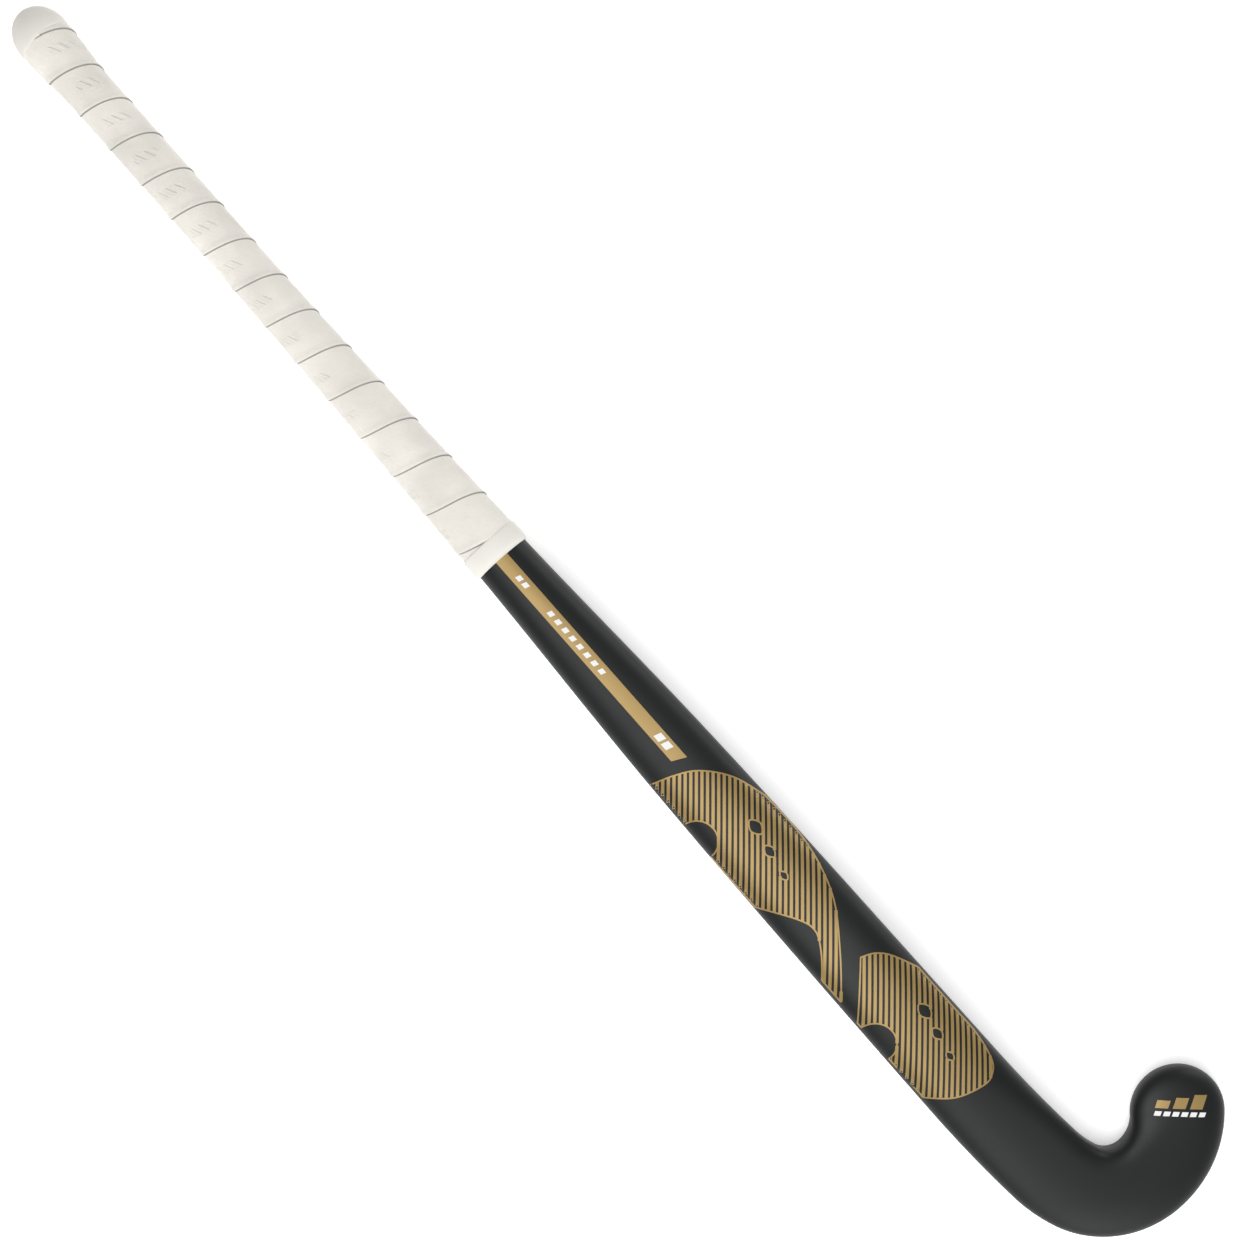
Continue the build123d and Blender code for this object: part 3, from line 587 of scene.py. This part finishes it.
# %% A node tree that lays a row of slanted bars on the skin
def bar_row_tree():
    """Geometry Nodes: count bars at a pitch along X, sheared, turned, placed and dropped on a target."""
    tree = bpy.data.node_groups.new("row_of_bars", "GeometryNodeTree")
    face = tree.interface
    sockets = {"Geometry": "NodeSocketGeometry", "Count": "NodeSocketInt", "Pitch": "NodeSocketFloat",
               "Bar Length": "NodeSocketFloat", "Bar Height": "NodeSocketFloat", "Growth": "NodeSocketFloat",
               "Slant": "NodeSocketFloat", "Turn": "NodeSocketFloat", "Place": "NodeSocketVector",
               "Lift": "NodeSocketFloat", "Target": "NodeSocketObject", "Ink": "NodeSocketMaterial"}
    keys = {name: face.new_socket(name, in_out="INPUT", socket_type=kind).identifier
            for name, kind in sockets.items()}
    face.new_socket("Geometry", in_out="OUTPUT", socket_type="NodeSocketGeometry")
    nodes, link = tree.nodes, tree.links.new
    given, out = nodes.new("NodeGroupInput"), nodes.new("NodeGroupOutput")

    def node(kind, **settings):
        made = nodes.new(kind)
        for key, value in settings.items():
            setattr(made, key, value)
        return made

    def calc(operation, a, b):
        made = node("ShaderNodeMath", operation=operation)
        for socket, value in zip(made.inputs, (a, b)):
            if isinstance(value, (int, float)):
                socket.default_value = value
            else:
                link(value, socket)
        return made.outputs[0]

    bar = node("GeometryNodeMeshGrid")
    bar.inputs["Vertices X"].default_value = 8
    bar.inputs["Vertices Y"].default_value = 8
    link(given.outputs["Bar Length"], bar.inputs["Size X"])
    link(given.outputs["Bar Height"], bar.inputs["Size Y"])
    step = node("ShaderNodeCombineXYZ")
    link(given.outputs["Pitch"], step.inputs[0])
    first = node("ShaderNodeCombineXYZ")
    gaps = calc("SUBTRACT", given.outputs["Count"], 1)
    link(calc("MULTIPLY", calc("MULTIPLY", given.outputs["Pitch"], gaps), -0.5), first.inputs[0])
    line = node("GeometryNodeMeshLine", mode="OFFSET")
    link(given.outputs["Count"], line.inputs["Count"])
    link(first.outputs[0], line.inputs["Start Location"])
    link(step.outputs[0], line.inputs["Offset"])
    index = node("GeometryNodeInputIndex")
    size = node("ShaderNodeCombineXYZ")
    size.inputs[0].default_value = 1.0
    size.inputs[2].default_value = 1.0
    link(calc("ADD", 1.0, calc("MULTIPLY", index.outputs[0], given.outputs["Growth"])), size.inputs[1])
    copies = node("GeometryNodeInstanceOnPoints")
    link(line.outputs["Mesh"], copies.inputs["Points"])
    link(bar.outputs["Mesh"], copies.inputs["Instance"])
    link(size.outputs[0], copies.inputs["Scale"])
    real = node("GeometryNodeRealizeInstances")
    link(copies.outputs[0], real.inputs[0])

    place = node("GeometryNodeInputPosition")
    parts = node("ShaderNodeSeparateXYZ")
    link(place.outputs[0], parts.inputs[0])
    sheared = node("ShaderNodeCombineXYZ")
    lean = calc("MULTIPLY", parts.outputs[1], given.outputs["Slant"])
    link(calc("ADD", parts.outputs[0], lean), sheared.inputs[0])
    link(parts.outputs[1], sheared.inputs[1])
    turned = node("ShaderNodeVectorRotate", rotation_type="Z_AXIS")
    link(sheared.outputs[0], turned.inputs["Vector"])
    link(given.outputs["Turn"], turned.inputs["Angle"])
    moved = node("ShaderNodeVectorMath", operation="ADD")
    link(turned.outputs[0], moved.inputs[0])
    link(given.outputs["Place"], moved.inputs[1])
    lay = node("GeometryNodeSetPosition")
    link(real.outputs[0], lay.inputs["Geometry"])
    link(moved.outputs[0], lay.inputs["Position"])

    info = node("GeometryNodeObjectInfo", transform_space="ORIGINAL")
    link(given.outputs["Target"], info.inputs["Object"])
    ray = node("GeometryNodeRaycast")
    ray.inputs["Ray Direction"].default_value = (0.0, 0.0, -1.0)
    ray.inputs["Ray Length"].default_value = 1.0
    link(info.outputs["Geometry"], ray.inputs["Target Geometry"])
    raised = node("ShaderNodeVectorMath", operation="SCALE")
    link(ray.outputs["Hit Normal"], raised.inputs[0])
    link(given.outputs["Lift"], raised.inputs["Scale"])
    resting = node("ShaderNodeVectorMath", operation="ADD")
    link(ray.outputs["Hit Position"], resting.inputs[0])
    link(raised.outputs[0], resting.inputs[1])
    drop = node("GeometryNodeSetPosition")
    link(lay.outputs[0], drop.inputs["Geometry"])
    link(resting.outputs[0], drop.inputs["Position"])
    flip = node("GeometryNodeFlipFaces")
    thick = node("GeometryNodeExtrudeMesh", mode="FACES")
    thick.inputs["Offset Scale"].default_value = 0.12 * MM
    thick.inputs["Individual"].default_value = False
    link(drop.outputs[0], thick.inputs["Mesh"])
    link(drop.outputs[0], flip.inputs[0])
    whole = node("GeometryNodeJoinGeometry")
    link(flip.outputs[0], whole.inputs[0])
    link(thick.outputs[0], whole.inputs[0])
    weld = node("GeometryNodeMergeByDistance")
    weld.inputs["Distance"].default_value = 1e-6
    link(whole.outputs[0], weld.inputs["Geometry"])
    paint = node("GeometryNodeSetMaterial")
    link(weld.outputs[0], paint.inputs["Geometry"])
    link(given.outputs["Ink"], paint.inputs["Material"])
    link(paint.outputs[0], out.inputs[0])
    return tree, keys


bar_tree, bar_keys = bar_row_tree()
print("bar row tree has", len(bar_tree.nodes), "nodes")

# %% [markdown]
# ## Finishes
# Fine grain is shared by paint, ink, rubber and the hidden pieces, so it is a node group. The texture of the
# wound tape is a group too, because it is long and has its own settings: pebbles, creases, embossed dashes,
# faint random soiling, and painted shade along each tape edge. Groups give back only heights and masks; the
# shader and its constants stay in each material.

# %% Shared shader groups
def shader_group(name, inputs, outputs):
    """An empty shader group with float inputs and the given outputs."""
    group = bpy.data.node_groups.new(name, "ShaderNodeTree")
    for key, value in inputs.items():
        group.interface.new_socket(key, in_out="INPUT", socket_type="NodeSocketFloat").default_value = value
    for key, kind in outputs.items():
        group.interface.new_socket(key, in_out="OUTPUT", socket_type=kind)
    return group, group.nodes.new("NodeGroupInput"), group.nodes.new("NodeGroupOutput")


def fine_grain():
    """Two sizes of noise on object coordinates: a height for bump and a slow mask for roughness."""
    group, given, out = shader_group("fine_grain", {"Grain Scale": 2500.0, "Drift Scale": 14.0},
                                     {"Height": "NodeSocketFloat", "Drift": "NodeSocketFloat"})
    coords = group.nodes.new("ShaderNodeTexCoord")
    for key, socket in (("Grain Scale", "Height"), ("Drift Scale", "Drift")):
        noise = group.nodes.new("ShaderNodeTexNoise")
        noise.inputs["Detail"].default_value = 3.0
        group.links.new(coords.outputs["Object"], noise.inputs["Vector"])
        group.links.new(given.outputs[key], noise.inputs["Scale"])
        group.links.new(noise.outputs[0], out.inputs[socket])
    return group


def tape_texture():
    """Fine leather-like pebbles, creases and rows of small embossed dashes that follow the tape's UV, and a
    colour mask of faint soiling with painted shade along each tape edge.
    """
    group, given, out = shader_group("tape_texture", {"Pebble Scale": 900.0, "Dash Pitch": 5.2},
                                     {"Height": "NodeSocketFloat", "Soil And Edge Shade": "NodeSocketFloat"})
    nodes, link = group.nodes, group.links.new
    coords = nodes.new("ShaderNodeTexCoord")
    pebble = nodes.new("ShaderNodeTexVoronoi")
    link(coords.outputs["Object"], pebble.inputs["Vector"])
    link(given.outputs["Pebble Scale"], pebble.inputs["Scale"])
    crease = nodes.new("ShaderNodeTexNoise")
    crease.inputs["Scale"].default_value = 55.0
    crease.inputs["Detail"].default_value = 5.0
    link(coords.outputs["Object"], crease.inputs["Vector"])
    soil = nodes.new("ShaderNodeTexNoise")
    soil.inputs["Scale"].default_value = 30.0
    soil.inputs["Detail"].default_value = 4.0
    link(coords.outputs["Object"], soil.inputs["Vector"])
    uv = nodes.new("ShaderNodeUVMap")
    uv.uv_map = "tape"
    parts = nodes.new("ShaderNodeSeparateXYZ")
    link(uv.outputs[0], parts.inputs[0])

    def calc(operation, a, b=0.0, c=0.0):
        made = nodes.new("ShaderNodeMath")
        made.operation = operation
        for socket, value in zip(made.inputs, (a, b, c)):
            if isinstance(value, (int, float)):
                socket.default_value = value
            else:
                link(value, socket)
        return made.outputs[0]

    across = calc("ABSOLUTE", calc("SUBTRACT", parts.outputs[1], 14.0))
    slanted = calc("ADD", parts.outputs[0], calc("MULTIPLY", parts.outputs[1], 0.6))
    step = calc("FRACT", calc("DIVIDE", slanted, given.outputs["Dash Pitch"]))
    along_dash = calc("ABSOLUTE", calc("SUBTRACT", step, 0.5))
    edge_of_dash = calc("MULTIPLY", calc("SUBTRACT", 0.30, along_dash), 8.0)
    dash = calc("MULTIPLY", calc("SMOOTH_MIN", edge_of_dash, 1.0, 0.2),
                calc("LESS_THAN", across, 2.6))
    grouping = calc("LESS_THAN", calc("FRACT", calc("DIVIDE", parts.outputs[0], 43.0)), 0.36)
    emboss = calc("MULTIPLY", calc("MAXIMUM", dash, 0.0), grouping)
    total = calc("ADD", calc("MULTIPLY", pebble.outputs["Distance"], 0.25),
                 calc("MULTIPLY", crease.outputs[0], 1.2))
    link(calc("ADD", total, calc("MULTIPLY", emboss, 0.55)), out.inputs["Height"])
    # Painted shade: the colour mask falls to zero within about 0.75 mm of each tape edge, so the tape is
    # drawn darker along every overlap where the step would be in shade; the noise above only adds faint
    # random soiling.
    edge = nodes.new("ShaderNodeUVMap")
    edge.uv_map = "edge"
    edge_parts = nodes.new("ShaderNodeSeparateXYZ")
    link(edge.outputs[0], edge_parts.inputs[0])
    seam_shade = nodes.new("ShaderNodeMapRange")
    seam_shade.interpolation_type = "SMOOTHSTEP"
    seam_shade.inputs["From Min"].default_value = 0.1
    seam_shade.inputs["From Max"].default_value = 0.75
    link(edge_parts.outputs[0], seam_shade.inputs["Value"])
    gentle = calc("ADD", 0.5, calc("MULTIPLY", calc("SUBTRACT", soil.outputs[0], 0.5), 0.35))
    link(calc("MULTIPLY", gentle, seam_shade.outputs[0]), out.inputs["Soil And Edge Shade"])
    return group


grain_group, tape_group = fine_grain(), tape_texture()
print("groups:", grain_group.name, tape_group.name)


# %% Materials
def material(name, base, group, settings, tones, rough, bump, extra=None):
    """A Principled material: a group's slow mask mixes two tones and two roughnesses, its height bumps."""
    made = bpy.data.materials.new(name)
    made.use_nodes = True
    nodes, link = made.node_tree.nodes, made.node_tree.links.new
    shader = nodes["Principled BSDF"]
    effect = nodes.new("ShaderNodeGroup")
    effect.node_tree = group
    for key, value in settings.items():
        effect.inputs[key].default_value = value
    mask = effect.outputs[1]
    mix = nodes.new("ShaderNodeMix")
    mix.data_type = "RGBA"
    mix.inputs["A"].default_value = (*[c * tones[0] for c in base], 1.0)
    mix.inputs["B"].default_value = (*[c * tones[1] for c in base], 1.0)
    link(mask, mix.inputs["Factor"])
    link(mix.outputs["Result"], shader.inputs["Base Color"])
    spread = nodes.new("ShaderNodeMapRange")
    spread.inputs["From Min"].default_value = 0.3
    spread.inputs["From Max"].default_value = 0.7
    spread.inputs["To Min"].default_value = rough[0]
    spread.inputs["To Max"].default_value = rough[1]
    link(mask, spread.inputs["Value"])
    link(spread.outputs[0], shader.inputs["Roughness"])
    dent = nodes.new("ShaderNodeBump")
    dent.inputs["Strength"].default_value = bump[0]
    dent.inputs["Distance"].default_value = bump[1]
    link(effect.outputs[0], dent.inputs["Height"])
    link(dent.outputs[0], shader.inputs["Normal"])
    for key, value in (extra or {}).items():
        shader.inputs[key].default_value = value
    return made


GRAIN = {"Grain Scale": 2600.0, "Drift Scale": 16.0}
black_paint = material("satin_black_paint", (0.0050, 0.0058, 0.0062), grain_group, GRAIN, (0.85, 1.15),
                       (0.46, 0.54), (0.06, 0.0001), {"Specular IOR Level": 0.34})
gold_ink = material("gold_ink", (0.345, 0.232, 0.080), grain_group, GRAIN, (0.9, 1.1), (0.42, 0.5),
                    (0.08, 0.0001), {"Metallic": 0.35})
white_ink = material("white_ink", (0.80, 0.80, 0.79), grain_group, GRAIN, (0.95, 1.03), (0.45, 0.5),
                     (0.05, 0.0001))
TAPE = {"Pebble Scale": 1100.0, "Dash Pitch": 5.2}
# Painted shade: the tape group's mask pulls this colour down to the darker tone along each tape edge; away
# from the edges it only varies as faint random soiling.
grip_white = material("grip_polyurethane", (0.78, 0.75, 0.69), tape_group, TAPE, (0.34, 1.72),
                      (0.66, 0.55), (0.7, 0.0012))
cap_white = material("cap_rubber", (0.79, 0.765, 0.71), grain_group,
                     {"Grain Scale": 900.0, "Drift Scale": 25.0},
                     (0.93, 1.05), (0.55, 0.65), (0.15, 0.0003))
INNER = {"structural_laminate": (0.05, 0.055, 0.05), "stiffening_strip_back": (0.03, 0.03, 0.032),
         "stiffening_strip_face": (0.03, 0.03, 0.032), "butt_plug": (0.7, 0.65, 0.45),
         "bladder_liner": (0.75, 0.75, 0.72), "handle_bulkhead": (0.7, 0.65, 0.45),
         "shaft_core": (0.7, 0.65, 0.45),
         "head_core": (0.55, 0.5, 0.38), "grip_underlay": (0.75, 0.72, 0.62)}
for node_name, colour in INNER.items():
    inner = material(node_name + "_finish", colour, grain_group, {"Grain Scale": 1200.0, "Drift Scale": 30.0},
                     (0.8, 1.2), (0.55, 0.75), (0.2, 0.0003))
    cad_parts[node_name].data.materials.clear()
    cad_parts[node_name].data.materials.append(inner)
print("materials:", len(bpy.data.materials))


# %% Rows of marks from the tree
def bar_row(name, ink, count, pitch, length, height, place, turn=0.0, growth=0.0, slant=0.3, lift=0.05):
    """One row of slanted bars on the skin, made by the node tree; sizes in millimetres."""
    obj = new_object(name, bpy.data.meshes.new(name))
    modifier = obj.modifiers.new("bars", "NODES")
    modifier.node_group = bar_tree
    values = {"Count": count, "Pitch": pitch * MM, "Bar Length": length * MM, "Bar Height": height * MM,
              "Growth": growth, "Slant": slant, "Turn": math.radians(turn), "Lift": lift * MM,
              "Place": ((place[0] + ZERO.x) * MM, (place[1] + ZERO.y) * MM, 0.2), "Target": skin, "Ink": ink}
    for key, value in values.items():
        modifier[bar_keys[key]] = value
    baked(obj)
    print(name, len(obj.data.polygons), "faces")
    return obj


def joined(name, rows):
    """Several rows as one object."""
    work = bmesh.new()
    for row in rows:
        work.from_mesh(row.data)
    bmesh.ops.recalc_face_normals(work, faces=work.faces)
    mesh = bpy.data.meshes.new(name)
    work.to_mesh(mesh)
    work.free()
    for row in rows:
        bpy.data.objects.remove(row)
    return new_object(name, mesh)


EMBLEM_TURN = 46.0
origin, _, _ = section_frame(TOE_END)
heading = math.radians(sum(turn for _, turn in HOOK_ARCS))
emblem = (origin.x + math.cos(heading), origin.y + math.sin(heading))


def emblem_point(x, y):
    """A plan point from the emblem's own middle, x along it and y up it."""
    c, s = math.cos(math.radians(EMBLEM_TURN)), math.sin(math.radians(EMBLEM_TURN))
    return emblem[0] + x * c - y * s, emblem[1] + x * s + y * c


marks = joined("spine_stripe_marks_ink", [
    bar_row("marks_pair", white_ink, 2, 5.0, 3.2, 3.0, (GRIP_LENGTH + 16.5, 0.0), lift=0.16),
    bar_row("marks_row", white_ink, 8, 6.0, 3.2, 3.0, (GRIP_LENGTH + 61.0, 0.0), lift=0.16),
    bar_row("marks_broad", white_ink, 2, 6.0, 4.4, 4.4, (GRIP_LENGTH + 133.0, 0.0), lift=0.16)])
emblem_bars = joined("toe_emblem_ink", [
    bar_row("emblem_bar_%d" % n, gold_ink, 1, 10.0, 7.2, 8.0 * (0.55 + 0.225 * n),
            emblem_point(10.0 * (n - 1), 1.5 + 4.0 * (0.55 + 0.225 * n)), EMBLEM_TURN) for n in range(3)])
caption = joined("toe_caption_ink", [
    bar_row("caption_dashes", white_ink, 6, 5.0, 3.6, 2.6, emblem_point(0.0, -1.5), EMBLEM_TURN)])

# %% [markdown]
# ## Fit the pieces to the frame
# Every piece rides on the one body and takes its finish; the engineering node it stands for is hidden.

# %% Assign finishes and bodies, and hide the replaced nodes
fitted = [(skin, "outer_laminate", "painted_laminate", black_paint),
          (tape, "grip_tape", "white_grip", grip_white), (cap, "butt_cap", "white_rubber", cap_white),
          (band, "grip_finishing_band", "finishing_tape", cap_white),
          (spine_stripe, "spine_stripe", "gold_print", gold_ink),
          (marks, "spine_stripe_marks", "white_print", white_ink),
          (panel_inks["panel_print_upper"], "panel_print_upper", "gold_print", gold_ink),
          (panel_inks["panel_print_lower"], "panel_print_lower", "gold_print", gold_ink),
          (emblem_bars, "toe_emblem", "gold_print", gold_ink),
          (caption, "toe_caption", "white_print", white_ink)]
for piece, node_name, slot_name, finish in fitted:
    piece.data.materials.clear()
    piece.data.materials.append(finish)
    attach(piece, "root")
    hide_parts(node_name)
print("fitted", len(fitted), "pieces")

# %% [markdown]
# ## Floor, light and camera
# The stick lies on a plain white table under big soft lights. The camera looks straight down with the
# stick running from upper left to lower right, through a long lens.

# %% Stage
floor_mesh = bpy.data.meshes.new("floor")
floor_mesh.from_pydata([(-6, -6, 0), (6, -6, 0), (6, 6, 0), (-6, 6, 0)], [], [(0, 1, 2, 3)])
floor = new_object("floor", floor_mesh)
floor_paint = bpy.data.materials.new("white_table")
floor_paint.use_nodes = True
floor_shader = floor_paint.node_tree.nodes["Principled BSDF"]
floor_shader.inputs["Base Color"].default_value = (0.95, 0.95, 0.95, 1.0)
floor_shader.inputs["Roughness"].default_value = 0.9
floor_shader.inputs["Emission Color"].default_value = (1.0, 1.0, 1.0, 1.0)
floor_shader.inputs["Emission Strength"].default_value = 0.45
floor_mesh.materials.append(floor_paint)

world = bpy.data.worlds.new("soft_room")
world.use_nodes = True
world.node_tree.nodes["Background"].inputs["Color"].default_value = (1.0, 1.0, 1.0, 1.0)
world.node_tree.nodes["Background"].inputs["Strength"].default_value = 0.30
bpy.context.scene.world = world


def soft_light(name, place, target, size, power):
    """A square area light aimed at a point."""
    data = bpy.data.lights.new(name, "AREA")
    data.size, data.energy = size, power
    light = bpy.data.objects.new(name, data)
    light.location = place
    light.rotation_euler = (Vector(target) - Vector(place)).to_track_quat("-Z", "Y").to_euler()
    bpy.context.scene.collection.objects.link(light)


VIEW_RIGHT, VIEW_UP = Vector((0.66215, 0.74937, 0.0)), Vector((-0.74937, 0.66215, 0.0))
middle = (Vector((476.6, 26.35, 18.0)) + ZERO) * MM
soft_light("key", middle - VIEW_RIGHT * 0.3 - VIEW_UP * 0.5 + Vector((0, 0, 1.9)), middle, 1.5, 30.0)
soft_light("low_fill", middle - VIEW_UP * 1.7 + VIEW_RIGHT * 0.5 + Vector((0, 0, 0.9)), middle, 0.9, 11.0)
soft_light("rim", middle + VIEW_RIGHT * 1.5 + VIEW_UP * 1.2 + Vector((0, 0, 0.5)), middle, 0.5, 8.0)

# %% Camera
DISTANCE, VIEW_WIDTH, SENSOR = 1.4, 694.06 * MM, 36.0
camera_data = bpy.data.cameras.new("camera")
camera_data.sensor_width = SENSOR
camera_data.lens = SENSOR * DISTANCE / VIEW_WIDTH
camera = bpy.data.objects.new("camera", camera_data)
camera_turn = Matrix((VIEW_RIGHT, VIEW_UP, Vector((0, 0, 1)))).transposed()
camera.matrix_world = Matrix.Translation(middle + Vector((0, 0, DISTANCE))) @ camera_turn.to_4x4()
bpy.context.scene.collection.objects.link(camera)
bpy.context.scene.camera = camera
bpy.context.scene.view_settings.view_transform = "Standard"
print("lens", round(camera_data.lens, 1), "mm")
